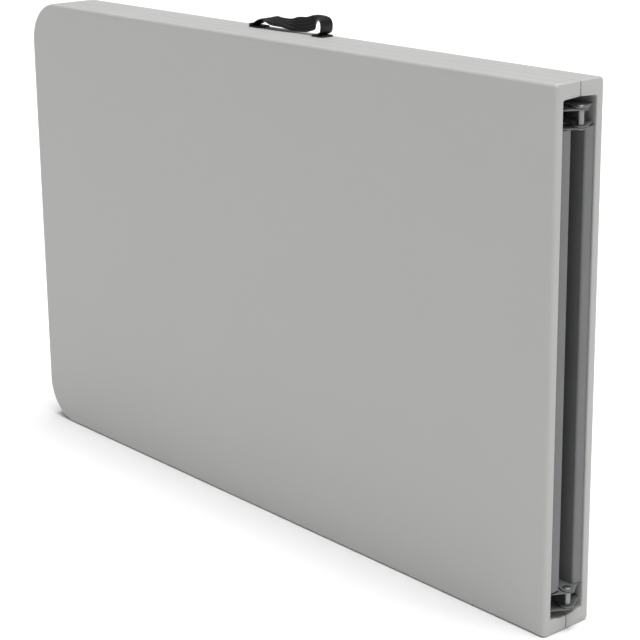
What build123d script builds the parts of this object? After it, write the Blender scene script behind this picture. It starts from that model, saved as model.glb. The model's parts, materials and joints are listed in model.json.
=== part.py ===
from build123d import *
import os

# Fold-in-half table, closed like a book and standing on one long edge.
# Millimetres. +X runs towards the fold, Y goes through the folded thickness, Z is up.
# Half a lies at -Y. Half b is half a turned half a turn about the X direction, plus the handle.

# Table halves
TABLE_WIDTH = 762.0
HALF_LENGTH = 1218.5
HALF_DEPTH = 46.0
MATING_GAP = 0.5
END_GAP = 0.5
FIELD_THICKNESS = 14.0
RIM_WIDTH = 21.0
OUTER_CORNER_RADIUS = 70.0
FOLD_CORNER_RADIUS = 6.5
TOP_EDGE_RADIUS = 5.0
SEAM_EDGE_RADIUS = 2.0

# Fold axis, along Z at Y = 0
FOLD_X = 604.5
EAR_RADIUS = 10.0
EAR_ROOT_X = 555.0
EAR_UPPER_TANGENT = (-4.0, 9.0)
EAR_LOWER_TANGENT = (9.0, -4.0)
EAR_FOOT_SETBACK = 6.0
HINGE_PIN_RADIUS = 3.0
HINGE_HEAD_RADIUS = 6.5
HINGE_HEAD_HEIGHT = 2.0
SPACER_RADIUS = 4.5
RUNNING_CLEARANCE = 0.05
AXIAL_CLEARANCE = 0.3

# Steel channels screwed under each half
SHEET = 1.5
RAIL_WIDTH = 26.0
RAIL_DEPTH = 18.5
RAIL_START_X = -575.0
FIRST_RAIL_OFFSET = 33.0
SECOND_RAIL_OFFSET = 35.4
CROSS_RAIL_OFFSET = 62.0
CROSS_RAIL_BACK_X = 575.0
CROSS_RAIL_SETBACK = 2.0

# Leg frame
LEG_PIVOT_TO_FOLD = 1100.0
LEG_DEPTH = 16.5
LEG_LENGTH = 708.0
LEG_TUBE_RADIUS = 12.0
PIVOT_TUBE_RADIUS = 12.7
TUBE_WALL = 1.5
FIRST_LEG_Z = 101.0
SECOND_LEG_Z = 621.0
CROSSBAR_RADIUS = 6.5
CROSSBAR_OFFSET = 3.0
BRACE_BAR_AT = 330.0
STRETCHER_AT = 480.0
FOOT_CAP_RADIUS = 14.5
FOOT_CAP_LENGTH = 45.0
FOOT_CAP_END = 4.0
PIVOT_EAR_RADIUS = 14.7
PIVOT_BORE_CLEARANCE = 0.1
LEG_BRACKET_LENGTH = 60.0
LEG_BRACKET_FOOT = 22.0
BRACKET_EAR = 3.0
BRACKET_PLATE = 2.0

# Folding brace: upper link on the top, lower link on the brace bar
BRACE_PIVOT_AT = 560.0
BRACE_PIVOT_DEPTH = 25.0
UPPER_LINK_LENGTH = 443.3
LINK_WIDTH = 8.0
LINK_END_RADIUS = 5.0
LINK_THICKNESS = 4.0
UPPER_LINK_Z = 356.0
LINK_GAP = 0.4
COLLAR_RADIUS = 9.3
COLLAR_LENGTH = 14.0
BRACE_PIN_RADIUS = 3.0
RIVET_HEAD_HEIGHT = 1.5
KNEE_RIVET_RADIUS = 4.0
BRACE_BASE = 1.0
BRACE_BASE_LENGTH = 30.0
BRACE_BASE_WIDTH = 30.0
BRACE_EAR = 2.0
BRACE_EAR_GAP = 0.8
BRACE_EAR_RADIUS = 6.5

# Leg clips
CLIP_AT = 600.0
CLIP_LENGTH = 24.0
CLIP_SIDE_CLEARANCE = 0.6
CLIP_WALL = 2.0
CLIP_TOP_Y = -12.0
CLIP_FLANGE = 12.0

# Screws
SCREW_HEAD_RADIUS = 3.6
SCREW_HEAD_HEIGHT = 2.0
SCREW_RADIUS = 2.2
SCREW_DEPTH = 8.5
SCREW_HOLE_EXTRA = 0.5
RAIL_SCREW_X = (-540.0, -300.0, -60.0, 180.0, 420.0)
CROSS_RAIL_SCREW_Z = (150.0, 381.0, 612.0)

# Carry handle on the top long edge of half b
HANDLE_Y = 26.5
STRAP_WIDTH = 24.0
STRAP_THICKNESS = 3.0
STRAP_LIFT = 0.1
STRAP_PATH = (
    (75.0, STRAP_LIFT),
    (84.0, STRAP_LIFT),
    (84.0, 25.0),
    (58.0, 25.0),
    (36.0, 12.5),
    (5.0, 8.0),
    (-30.0, 8.0),
    (-48.0, 11.5),
    (-62.0, 8.5),
    (-78.0, STRAP_LIFT),
    (-86.0, STRAP_LIFT),
)
STRAP_BENDS = (7.0, 14.0, 20.0, 30.0, 60.0, 40.0, 20.0, 20.0, 12.0)
FOOT_STARTS_X = (-86.5, 61.5)
FOOT_PLATE_LENGTH = 28.0
FOOT_PLATE_THICKNESS = 2.5
FOOT_PLATE_CORNER = 3.0
HANDLE_SCREWS_X = (-65.0, 70.0)
HANDLE_SCREW_DEPTH = 12.0
BRACE_SCREW_EDGE = 1.0

# Places that follow from the sizes above
FACE_X = FOLD_X - END_GAP
OUTER_X = FACE_X - HALF_LENGTH
UNDERSIDE_Y = FIELD_THICKNESS - HALF_DEPTH
SEAT_Y = UNDERSIDE_Y + SHEET
LEG_PIVOT_X = FOLD_X - LEG_PIVOT_TO_FOLD
LEG_Y = -LEG_DEPTH
CROSSBAR_Y = LEG_Y + CROSSBAR_OFFSET
BRACE_BAR_X = LEG_PIVOT_X + BRACE_BAR_AT
STRETCHER_X = LEG_PIVOT_X + STRETCHER_AT
BRACE_PIVOT_X = LEG_PIVOT_X + BRACE_PIVOT_AT
BRACE_PIVOT_Y = -BRACE_PIVOT_DEPTH
KNEE_X = BRACE_PIVOT_X - UPPER_LINK_LENGTH
CLIP_X = LEG_PIVOT_X + CLIP_AT
FIRST_RAIL_Z = FIRST_RAIL_OFFSET
SECOND_RAIL_Z = TABLE_WIDTH - SECOND_RAIL_OFFSET - RAIL_WIDTH
INNER_LOW_Z = FIRST_RAIL_Z + RAIL_WIDTH
INNER_HIGH_Z = SECOND_RAIL_Z
LOWER_LINK_Z = UPPER_LINK_Z + LINK_THICKNESS + LINK_GAP


def block(x, y, z):
    """Box between two X, two Y and two Z values."""
    size = (x[1] - x[0], y[1] - y[0], z[1] - z[0])
    centre = ((x[0] + x[1]) / 2, (y[0] + y[1]) / 2, (z[0] + z[1]) / 2)
    return Pos(*centre) * Box(*size)


def rod_x(radius, x, y, z):
    """Cylinder along X between two X values."""
    return Pos((x[0] + x[1]) / 2, y, z) * Rot(0, 90, 0) * Cylinder(radius, x[1] - x[0])


def rod_y(radius, x, y, z):
    """Cylinder along Y between two Y values."""
    return Pos(x, (y[0] + y[1]) / 2, z) * Rot(90, 0, 0) * Cylinder(radius, y[1] - y[0])


def rod_z(radius, x, y, z):
    """Cylinder along Z between two Z values."""
    return Pos(x, y, (z[0] + z[1]) / 2) * Cylinder(radius, z[1] - z[0])


def plate_xy(sketch, z):
    """Flat plate of an XY outline between two Z values."""
    return Pos(0, 0, z[0]) * extrude(sketch, z[1] - z[0])


def outline(x, width, outer_radius, y):
    """Face in the plane of the table top: large corners at the outer end, at one depth."""
    plane = Plane(
        origin=((x[0] + x[1]) / 2, y, TABLE_WIDTH / 2), x_dir=(1, 0, 0), z_dir=(0, 1, 0)
    )
    shape = Rectangle(x[1] - x[0], width)
    shape = fillet(shape.vertices().group_by(Axis.X)[0], outer_radius)
    shape = fillet(shape.vertices().group_by(Axis.X)[-1], FOLD_CORNER_RADIUS)
    return plane * shape


def screw_places():
    """X, Z and seat height of every screw under a half."""
    places = [(x, FIRST_RAIL_Z + RAIL_WIDTH / 2, SEAT_Y) for x in RAIL_SCREW_X]
    places += [(x, SECOND_RAIL_Z + RAIL_WIDTH / 2, SEAT_Y) for x in RAIL_SCREW_X]
    cross_x = (CROSS_RAIL_BACK_X + FACE_X - CROSS_RAIL_SETBACK) / 2
    places += [(cross_x, z, SEAT_Y) for z in CROSS_RAIL_SCREW_Z]
    foot_middle = BRACKET_EAR + LEG_BRACKET_FOOT / 2
    for x in (LEG_PIVOT_X - LEG_BRACKET_LENGTH / 3, LEG_PIVOT_X + LEG_BRACKET_LENGTH / 3):
        for z in (INNER_LOW_Z + foot_middle, INNER_HIGH_Z - foot_middle):
            places.append((x, z, UNDERSIDE_Y + BRACKET_PLATE))
    middle_z = UPPER_LINK_Z + LINK_THICKNESS / 2
    for side in (-1, 1):
        z = middle_z + side * (BRACE_BASE_WIDTH / 2 - SCREW_HEAD_RADIUS - BRACE_SCREW_EDGE)
        places.append((BRACE_PIVOT_X, z, UNDERSIDE_Y + BRACE_BASE))
    for leg_z in (FIRST_LEG_Z, SECOND_LEG_Z):
        places.append((CLIP_X, clip_outer_z(leg_z) - CLIP_FLANGE / 2, UNDERSIDE_Y + BRACKET_PLATE))
    return places


def clip_outer_z(leg_z):
    """Outer face of a leg clip on the side of its flange."""
    return leg_z - LEG_TUBE_RADIUS - CLIP_SIDE_CLEARANCE - CLIP_WALL


def screw_holes():
    """Clearance for every screw, through the steel and into the top."""
    radius = SCREW_RADIUS + RUNNING_CLEARANCE
    depth = (UNDERSIDE_Y - SCREW_DEPTH - SCREW_HOLE_EXTRA, UNDERSIDE_Y + BRACKET_PLATE)
    return [rod_y(radius, x, depth, z) for x, z, seat in screw_places()]


def moulded_top():
    """Table half: a flat field with a deep rim on three sides, open at the fold."""
    edge = outline((OUTER_X, FACE_X), TABLE_WIDTH, OUTER_CORNER_RADIUS, -HALF_DEPTH)
    top = extrude(edge, HALF_DEPTH - MATING_GAP)
    pocket = extrude(
        outline(
            (OUTER_X + RIM_WIDTH, FACE_X + RIM_WIDTH),
            TABLE_WIDTH - 2 * RIM_WIDTH,
            OUTER_CORNER_RADIUS - RIM_WIDTH,
            UNDERSIDE_Y,
        ),
        HALF_DEPTH,
    )
    top = fillet(top.edges().group_by(Axis.Y)[0], TOP_EDGE_RADIUS)
    top = fillet(top.edges().group_by(Axis.Y)[-1], SEAM_EDGE_RADIUS)
    return top - pocket - screw_holes()


def ear_outline():
    """Hinge ear in XY: a flange end running into a round eye on the fold axis."""
    eye = Pos(FOLD_X, 0) * Circle(EAR_RADIUS)
    web = make_face(
        Polyline(
            (EAR_ROOT_X, UNDERSIDE_Y),
            (EAR_ROOT_X, UNDERSIDE_Y + RAIL_DEPTH),
            (FOLD_X + EAR_UPPER_TANGENT[0], EAR_UPPER_TANGENT[1]),
            (FOLD_X + EAR_LOWER_TANGENT[0], EAR_LOWER_TANGENT[1]),
            (FACE_X - EAR_FOOT_SETBACK, UNDERSIDE_Y),
            close=True,
        )
    )
    hole = Pos(FOLD_X, 0) * Circle(HINGE_PIN_RADIUS + RUNNING_CLEARANCE)
    return eye + web - hole


def side_rail(start_z):
    """Channel under one long edge, its flanges drawn out into hinge ears."""
    y = (UNDERSIDE_Y, UNDERSIDE_Y + RAIL_DEPTH)
    x = (RAIL_START_X, EAR_ROOT_X)
    z = (start_z, start_z + RAIL_WIDTH)
    rail = block(x, y, z)
    rail -= block(x, (y[0] + SHEET, y[1]), (z[0] + SHEET, z[1] - SHEET))
    for flange_z in (z[0], z[1] - SHEET):
        rail += plate_xy(ear_outline(), (flange_z, flange_z + SHEET))
    return rail - screw_holes()


def cross_rail():
    """Channel across the fold end, its web facing out between the hinges."""
    x = (CROSS_RAIL_BACK_X, FACE_X - CROSS_RAIL_SETBACK)
    y = (UNDERSIDE_Y, UNDERSIDE_Y + RAIL_DEPTH)
    z = (CROSS_RAIL_OFFSET, TABLE_WIDTH - CROSS_RAIL_OFFSET)
    rail = block(x, y, z)
    rail -= block((x[0], x[1] - SHEET), (y[0] + SHEET, y[1] - SHEET), z)
    return rail - screw_holes()


def leg_bracket(wall_z, inward):
    """Screwed foot and round ear that carry one end of the pivot tube."""
    ear_z = sorted((wall_z, wall_z + inward * BRACKET_EAR))
    foot_z = sorted((wall_z, wall_z + inward * (BRACKET_EAR + LEG_BRACKET_FOOT)))
    half = LEG_BRACKET_LENGTH / 2
    foot_x = (LEG_PIVOT_X - half, LEG_PIVOT_X + half)
    ear_x = (LEG_PIVOT_X - PIVOT_EAR_RADIUS, LEG_PIVOT_X + PIVOT_EAR_RADIUS)
    bracket = block(foot_x, (UNDERSIDE_Y, UNDERSIDE_Y + BRACKET_PLATE), foot_z)
    bracket += block(ear_x, (UNDERSIDE_Y, LEG_Y), ear_z)
    bracket += rod_z(PIVOT_EAR_RADIUS, LEG_PIVOT_X, LEG_Y, ear_z)
    bracket -= rod_z(PIVOT_TUBE_RADIUS + PIVOT_BORE_CLEARANCE, LEG_PIVOT_X, LEG_Y, ear_z)
    return bracket - screw_holes()


def brace_bracket():
    """Thin base with two ears that hold the brace pin under the top."""
    middle_z = UPPER_LINK_Z + LINK_THICKNESS / 2
    x = (BRACE_PIVOT_X - BRACE_BASE_LENGTH / 2, BRACE_PIVOT_X + BRACE_BASE_LENGTH / 2)
    z = (middle_z - BRACE_BASE_WIDTH / 2, middle_z + BRACE_BASE_WIDTH / 2)
    bracket = block(x, (UNDERSIDE_Y, UNDERSIDE_Y + BRACE_BASE), z)
    ear_x = (BRACE_PIVOT_X - BRACE_EAR_RADIUS, BRACE_PIVOT_X + BRACE_EAR_RADIUS)
    for ear_z in brace_ear_places():
        bracket += block(ear_x, (UNDERSIDE_Y, BRACE_PIVOT_Y), ear_z)
        bracket += rod_z(BRACE_EAR_RADIUS, BRACE_PIVOT_X, BRACE_PIVOT_Y, ear_z)
        bracket -= rod_z(BRACE_PIN_RADIUS, BRACE_PIVOT_X, BRACE_PIVOT_Y, ear_z)
    return bracket - screw_holes()


def brace_ear_places():
    """Z spans of the two ears, one on each side of the upper link."""
    low = UPPER_LINK_Z - BRACE_EAR_GAP
    high = UPPER_LINK_Z + LINK_THICKNESS + BRACE_EAR_GAP
    return (low - BRACE_EAR, low), (high, high + BRACE_EAR)


def brace_pin():
    """Headed pin through the brace bracket and the upper link."""
    low, high = brace_ear_places()
    pin = rod_z(BRACE_PIN_RADIUS, BRACE_PIVOT_X, BRACE_PIVOT_Y, (low[0], high[1]))
    for head_z in ((low[0] - RIVET_HEAD_HEIGHT, low[0]), (high[1], high[1] + RIVET_HEAD_HEIGHT)):
        pin += rod_z(LINK_END_RADIUS, BRACE_PIVOT_X, BRACE_PIVOT_Y, head_z)
    return pin


def leg_clip(leg_z):
    """Open cradle that a folded leg tube drops into."""
    inner = LEG_TUBE_RADIUS + CLIP_SIDE_CLEARANCE
    x = (CLIP_X - CLIP_LENGTH / 2, CLIP_X + CLIP_LENGTH / 2)
    outer_z = clip_outer_z(leg_z)
    z = (outer_z - CLIP_FLANGE, leg_z + inner + CLIP_WALL)
    clip = block(x, (UNDERSIDE_Y, UNDERSIDE_Y + BRACKET_PLATE), z)
    for wall_z in (outer_z, leg_z + inner):
        clip += block(x, (UNDERSIDE_Y, CLIP_TOP_Y), (wall_z, wall_z + CLIP_WALL))
    return clip - screw_holes()


def screw(x, z, seat):
    """Pan-head screw standing on a seat under the top."""
    head = rod_y(SCREW_HEAD_RADIUS, x, (seat, seat + SCREW_HEAD_HEIGHT), z)
    return head + rod_y(SCREW_RADIUS, x, (UNDERSIDE_Y - SCREW_DEPTH, seat), z)


def pivot_tube():
    """Top tube of the leg frame, turning in the two leg brackets."""
    z = (INNER_LOW_Z + AXIAL_CLEARANCE, INNER_HIGH_Z - AXIAL_CLEARANCE)
    tube = rod_z(PIVOT_TUBE_RADIUS, LEG_PIVOT_X, LEG_Y, z)
    return tube - rod_z(PIVOT_TUBE_RADIUS - TUBE_WALL, LEG_PIVOT_X, LEG_Y, z)


def leg_tube(leg_z):
    """Straight leg, shaped to sit against the pivot tube."""
    x = (LEG_PIVOT_X, LEG_PIVOT_X + LEG_LENGTH - FOOT_CAP_END)
    tube = rod_x(LEG_TUBE_RADIUS, x, LEG_Y, leg_z)
    tube -= rod_x(LEG_TUBE_RADIUS - TUBE_WALL, x, LEG_Y, leg_z)
    return tube - rod_z(PIVOT_TUBE_RADIUS, LEG_PIVOT_X, LEG_Y, (0, TABLE_WIDTH))


def crossbar(x):
    """Bar between the two legs, shaped to sit against both."""
    bar = rod_z(CROSSBAR_RADIUS, x, CROSSBAR_Y, (FIRST_LEG_Z, SECOND_LEG_Z))
    for leg_z in (FIRST_LEG_Z, SECOND_LEG_Z):
        bar -= rod_x(LEG_TUBE_RADIUS, (x - LEG_TUBE_RADIUS, x + LEG_TUBE_RADIUS), LEG_Y, leg_z)
    return bar


def foot_cap(leg_z):
    """Closed cap over the end of a leg tube."""
    end_x = LEG_PIVOT_X + LEG_LENGTH
    cap = rod_x(FOOT_CAP_RADIUS, (end_x - FOOT_CAP_LENGTH, end_x), LEG_Y, leg_z)
    cap = chamfer(cap.edges().group_by(Axis.X)[-1], SEAM_EDGE_RADIUS)
    bore = (end_x - FOOT_CAP_LENGTH, end_x - FOOT_CAP_END)
    return cap - rod_x(LEG_TUBE_RADIUS + RUNNING_CLEARANCE, bore, LEG_Y, leg_z)


def link(start, end, z):
    """Flat bar with round ends between two XY points."""
    middle = Line(start, end)
    bar = trace(middle, LINK_WIDTH)
    for point in (start, end):
        bar += Pos(*point) * Circle(LINK_END_RADIUS)
    return plate_xy(bar, (z, z + LINK_THICKNESS))


def upper_link():
    """Brace link from the top to the knee, with its half of the knee rivet."""
    pivot = (BRACE_PIVOT_X, BRACE_PIVOT_Y)
    knee = (KNEE_X, BRACE_PIVOT_Y)
    z = (UPPER_LINK_Z, UPPER_LINK_Z + LINK_THICKNESS)
    bar = link(pivot, knee, UPPER_LINK_Z)
    bar -= rod_z(BRACE_PIN_RADIUS + RUNNING_CLEARANCE, *pivot, z)
    return bar + rod_z(KNEE_RIVET_RADIUS, *knee, (z[0] - RIVET_HEAD_HEIGHT, z[0]))


def lower_link():
    """Brace link from the knee to a collar turning on the brace bar."""
    bar_centre = (BRACE_BAR_X, CROSSBAR_Y)
    knee = (KNEE_X, BRACE_PIVOT_Y)
    top_z = LOWER_LINK_Z + LINK_THICKNESS
    collar_z = (LOWER_LINK_Z, LOWER_LINK_Z + COLLAR_LENGTH)
    bar = link(bar_centre, knee, LOWER_LINK_Z) + rod_z(COLLAR_RADIUS, *bar_centre, collar_z)
    bar -= rod_z(CROSSBAR_RADIUS + RUNNING_CLEARANCE, *bar_centre, collar_z)
    return bar + rod_z(KNEE_RIVET_RADIUS, *knee, (top_z, top_z + RIVET_HEAD_HEIGHT))


def hinge_pin(start_z):
    """Headed pin through the two ears of each half at one end of the fold."""
    stack = RAIL_WIDTH + SECOND_RAIL_OFFSET - FIRST_RAIL_OFFSET
    z = (start_z - AXIAL_CLEARANCE, start_z + stack + AXIAL_CLEARANCE)
    pin = rod_z(HINGE_PIN_RADIUS, FOLD_X, 0, z)
    for head_z in ((z[0] - HINGE_HEAD_HEIGHT, z[0]), (z[1], z[1] + HINGE_HEAD_HEIGHT)):
        pin += rod_z(HINGE_HEAD_RADIUS, FOLD_X, 0, head_z)
    return pin


def hinge_spacer(start_z):
    """Sleeve on a hinge pin between the paired ears."""
    ears = SHEET + SECOND_RAIL_OFFSET - FIRST_RAIL_OFFSET
    z = (start_z + ears + AXIAL_CLEARANCE, start_z + RAIL_WIDTH - SHEET - AXIAL_CLEARANCE)
    sleeve = rod_z(SPACER_RADIUS, FOLD_X, 0, z)
    return sleeve - rod_z(HINGE_PIN_RADIUS + RUNNING_CLEARANCE, FOLD_X, 0, z)


def handle_strap():
    """Flexible strap that curls over both feet and sags between them."""
    rest = TABLE_WIDTH + FOOT_PLATE_THICKNESS + STRAP_THICKNESS / 2
    path = FilletPolyline(*((x, rest + rise) for x, rise in STRAP_PATH), radius=STRAP_BENDS)
    band = trace(path, STRAP_THICKNESS)
    plane = Plane(origin=(0, HANDLE_Y + STRAP_WIDTH / 2, 0), x_dir=(1, 0, 0), z_dir=(0, -1, 0))
    return extrude(plane * band, STRAP_WIDTH)


def handle_foot(start_x):
    """Flat tab under one end of the strap."""
    width = (HANDLE_Y - STRAP_WIDTH / 2, HANDLE_Y + STRAP_WIDTH / 2)
    z = (TABLE_WIDTH, TABLE_WIDTH + FOOT_PLATE_THICKNESS)
    tab = block((start_x, start_x + FOOT_PLATE_LENGTH), width, z)
    tab = fillet(tab.edges().filter_by(Axis.Z), FOOT_PLATE_CORNER)
    return tab - handle_screw_holes()


def handle_screw_holes():
    """Clearance for the handle screws through the feet and into the rim."""
    z = (TABLE_WIDTH - HANDLE_SCREW_DEPTH - SCREW_HOLE_EXTRA, TABLE_WIDTH + FOOT_PLATE_THICKNESS)
    return [rod_z(SCREW_RADIUS + RUNNING_CLEARANCE, x, HANDLE_Y, z) for x in HANDLE_SCREWS_X]


def handle_screw(x):
    """Pan-head screw through a handle foot."""
    seat = TABLE_WIDTH + FOOT_PLATE_THICKNESS
    head = rod_z(SCREW_HEAD_RADIUS, x, HANDLE_Y, (seat, seat + SCREW_HEAD_HEIGHT))
    return head + rod_z(SCREW_RADIUS, x, HANDLE_Y, (TABLE_WIDTH - HANDLE_SCREW_DEPTH, seat))


def group(shapes):
    """Separate like solids under one name."""
    return Compound(children=list(shapes))


def half_parts():
    """Every piece that both halves have, in the place of half a; low and high as in half a."""
    legs = (FIRST_LEG_Z, SECOND_LEG_Z)
    return {
        "top": moulded_top(),
        "side_rail_low": side_rail(FIRST_RAIL_Z),
        "side_rail_high": side_rail(SECOND_RAIL_Z),
        "cross_rail": cross_rail(),
        "leg_bracket_low": leg_bracket(INNER_LOW_Z, 1),
        "leg_bracket_high": leg_bracket(INNER_HIGH_Z, -1),
        "brace_bracket": brace_bracket(),
        "brace_pin": brace_pin(),
        "leg_clips": group(leg_clip(z) for z in legs),
        "screws": group(screw(*place) for place in screw_places()),
        "pivot_tube": pivot_tube(),
        "leg_tube_low": leg_tube(FIRST_LEG_Z),
        "leg_tube_high": leg_tube(SECOND_LEG_Z),
        "brace_bar": crossbar(BRACE_BAR_X),
        "stretcher": crossbar(STRETCHER_X),
        "foot_caps": group(foot_cap(z) for z in legs),
        "upper_link": upper_link(),
        "lower_link": lower_link(),
    }


def turned_name(name):
    """Low and high change places when a half is turned over."""
    swaps = {"low": "high", "high": "low"}
    stem, _, end = name.rpartition("_")
    return f"{stem}_{swaps[end]}" if end in swaps else name


def build_all():
    """All named pieces of the closed table."""
    parts = {}
    turn = Pos(0, 0, TABLE_WIDTH) * Rot(180, 0, 0)
    for name, shape in half_parts().items():
        parts[f"a_{name}"] = shape
        parts[f"b_{turned_name(name)}"] = turn * shape
    parts["b_top"] -= handle_screw_holes()
    starts = {"low": FIRST_RAIL_Z, "high": SECOND_RAIL_Z}
    for end, start_z in starts.items():
        parts[f"hinge_pin_{end}"] = hinge_pin(start_z)
        parts[f"hinge_spacer_{end}"] = hinge_spacer(start_z)
    parts["handle_strap"] = handle_strap()
    parts["handle_feet"] = group(handle_foot(x) for x in FOOT_STARTS_X)
    parts["handle_screws"] = group(handle_screw(x) for x in HANDLE_SCREWS_X)
    return parts


os.makedirs("parts", exist_ok=True)
for node, shape in build_all().items():
    export_step(shape, f"parts/{node}.step")
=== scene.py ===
"""Looks of a fold-in-half table, closed and standing on one long edge.

Metres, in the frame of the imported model: +X runs towards the fold, Y goes through the folded thickness
and Z is up. Half a lies at -Y, and half b is half a turned half a turn about the X direction.
"""

import json
import math

import bmesh
import bpy
import numpy as np
from bpy.props import FloatProperty, FloatVectorProperty, IntProperty, PointerProperty
from mathutils import Matrix, Vector

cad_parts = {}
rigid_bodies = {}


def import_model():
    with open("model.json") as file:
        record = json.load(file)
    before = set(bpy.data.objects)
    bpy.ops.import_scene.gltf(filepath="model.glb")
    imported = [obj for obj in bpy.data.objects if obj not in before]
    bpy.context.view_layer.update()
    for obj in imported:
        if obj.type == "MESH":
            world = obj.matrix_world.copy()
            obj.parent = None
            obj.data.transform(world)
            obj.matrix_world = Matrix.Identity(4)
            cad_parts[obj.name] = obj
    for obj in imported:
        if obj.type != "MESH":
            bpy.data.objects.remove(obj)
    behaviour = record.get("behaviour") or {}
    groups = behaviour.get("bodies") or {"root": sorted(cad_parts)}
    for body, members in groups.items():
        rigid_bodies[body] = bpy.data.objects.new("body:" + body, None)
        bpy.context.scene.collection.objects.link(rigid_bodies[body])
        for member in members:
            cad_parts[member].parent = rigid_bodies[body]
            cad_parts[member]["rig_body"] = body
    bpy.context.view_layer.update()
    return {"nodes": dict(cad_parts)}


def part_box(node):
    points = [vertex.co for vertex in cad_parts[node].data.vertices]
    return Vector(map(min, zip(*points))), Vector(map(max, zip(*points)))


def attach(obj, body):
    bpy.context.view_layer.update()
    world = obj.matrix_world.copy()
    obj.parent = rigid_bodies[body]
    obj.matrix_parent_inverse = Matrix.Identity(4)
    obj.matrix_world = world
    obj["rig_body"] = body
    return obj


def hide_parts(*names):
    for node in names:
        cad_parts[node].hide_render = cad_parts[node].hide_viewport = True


bl_info = {
    "name": "Folding Table Looks",
    "version": (1, 0, 0),
    "blender": (4, 5, 0),
    "location": "View3D > Sidebar > Folding Table",
    "description": "Builds the visible pieces, finishes, light and camera of a fold-in-half table",
    "category": "Object",
}

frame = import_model()

MM = 0.001
OTHER_END = {"low": "high", "high": "low"}


def centre(node):
    """Middle of a CAD node's box."""
    low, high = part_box(node)
    return (low + high) / 2


def half_size(node, axis):
    """Half of a CAD node's extent along one axis."""
    low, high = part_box(node)
    return (high[axis] - low[axis]) / 2


# Places that follow from the frame, all for half a
TOP_LOW, TOP_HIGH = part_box("a_top")
RAIL_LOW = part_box("a_side_rail_low")[0]
CROSS_LOW, CROSS_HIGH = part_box("a_cross_rail")
WIDTH = TOP_HIGH.z
UNDERSIDE_Y = RAIL_LOW.y
FOLD_X = centre("hinge_pin_low").x
LEG_PIVOT = centre("a_pivot_tube")
PIVOT_RADIUS = half_size("a_pivot_tube", 0)
LEG_RADIUS = half_size("a_leg_tube_low", 2)
BAR_RADIUS = half_size("a_brace_bar", 0)
SHEET = 1.5 * MM
RIM = 21 * MM
CORNER = 70 * MM
RAIL_DEPTH = 18.5 * MM
RAIL_WIDTH = 26 * MM
EAR_ROOT_X = 0.555
EAR_RADIUS = 10 * MM
PIN_RADIUS = 2.95 * MM
PIN_BORE = 3.05 * MM
SCREW_RADIUS = 3.6 * MM
SCREW_HEIGHT = 2 * MM
LINK = 4 * MM
BOSS = 0.05 * MM
HANDLE_FOOT = 28 * MM
STRAP_WIDTH = 24 * MM
STRAP_THICKNESS = 3 * MM

# Route of the strap in millimetres from its foot plates' middle: (x, height), and the bend at each point
STRAP_ROUTE = (
    (75, 0.1), (85, 0.1), (86, 23), (72, 24), (58, 15), (40, 10),
    (5, 8), (-30, 8), (-48, 11.5), (-62, 8.5), (-78, 0.1), (-86, 0.1),
)
STRAP_BENDS = (0, 8, 10, 8, 16, 20, 60, 40, 20, 20, 12, 0)


# ---------------------------------------------------------------- settings


class TopShape(bpy.types.PropertyGroup):
    """Shape of the two moulded halves."""

    edge: FloatProperty(
        name="Edge", description="Radius round the table top", default=5.5 * MM, unit="LENGTH"
    )
    seam: FloatProperty(
        name="Seam", description="Radius where the two rims meet", default=2.4 * MM, unit="LENGTH"
    )
    parting: FloatProperty(
        name="Parting line", description="Depth of the mould line round the rim",
        default=0.12 * MM, unit="LENGTH",
    )
    draft: FloatProperty(
        name="Draft", description="Lean of the rim's inner wall", default=1.2 * MM, unit="LENGTH"
    )
    pit_pitch: FloatProperty(
        name="Pit pitch", description="Distance between rows of moulded pits",
        default=30 * MM, unit="LENGTH",
    )
    pit_radius: FloatProperty(
        name="Pit radius", description="Radius of a pit at the underside", default=11 * MM, unit="LENGTH"
    )
    pit_depth: FloatProperty(
        name="Pit depth", description="Depth of a pit", default=7 * MM, unit="LENGTH"
    )


class SteelShape(bpy.types.PropertyGroup):
    """Shape of rails, tubes and links."""

    bend: FloatProperty(
        name="Bend", description="Outer radius of a folded sheet corner", default=3 * MM, unit="LENGTH"
    )
    broken_edge: FloatProperty(
        name="Broken edge", description="Radius on a cut sheet edge", default=0.35 * MM, unit="LENGTH"
    )
    weld: FloatProperty(
        name="Weld", description="Radius of a weld bead", default=1.7 * MM, unit="LENGTH"
    )


class HandleShape(bpy.types.PropertyGroup):
    """Shape of the carry handle."""

    grip_width: FloatProperty(
        name="Grip width", description="Width of the strap in the hand",
        default=23 * MM, unit="LENGTH",
    )
    grip_thickness: FloatProperty(
        name="Grip thickness", description="Thickness of the strap in the hand",
        default=6 * MM, unit="LENGTH",
    )
    rib_depth: FloatProperty(
        name="Rib depth", description="Depth of the grooves along the grip",
        default=1.1 * MM, unit="LENGTH",
    )
    twist: FloatProperty(
        name="Twist", description="Most that the grip leans towards half a",
        default=math.radians(74), unit="ROTATION",
    )
    ribs: IntProperty(name="Ribs", description="Ribs on each face of the grip", default=4, min=1)


class Colours(bpy.types.PropertyGroup):
    """Base colours, linear."""

    plastic: FloatVectorProperty(
        name="Plastic", description="Moulded table top", default=(0.46, 0.46, 0.451), subtype="COLOR"
    )
    steel: FloatVectorProperty(
        name="Steel", description="Powder coated steel", default=(0.145, 0.147, 0.15), subtype="COLOR"
    )
    zinc: FloatVectorProperty(
        name="Zinc", description="Plated pins and screws", default=(0.3, 0.305, 0.31), subtype="COLOR"
    )
    black: FloatVectorProperty(
        name="Black", description="Caps, clips and handle", default=(0.008, 0.008, 0.0085), subtype="COLOR"
    )


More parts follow.
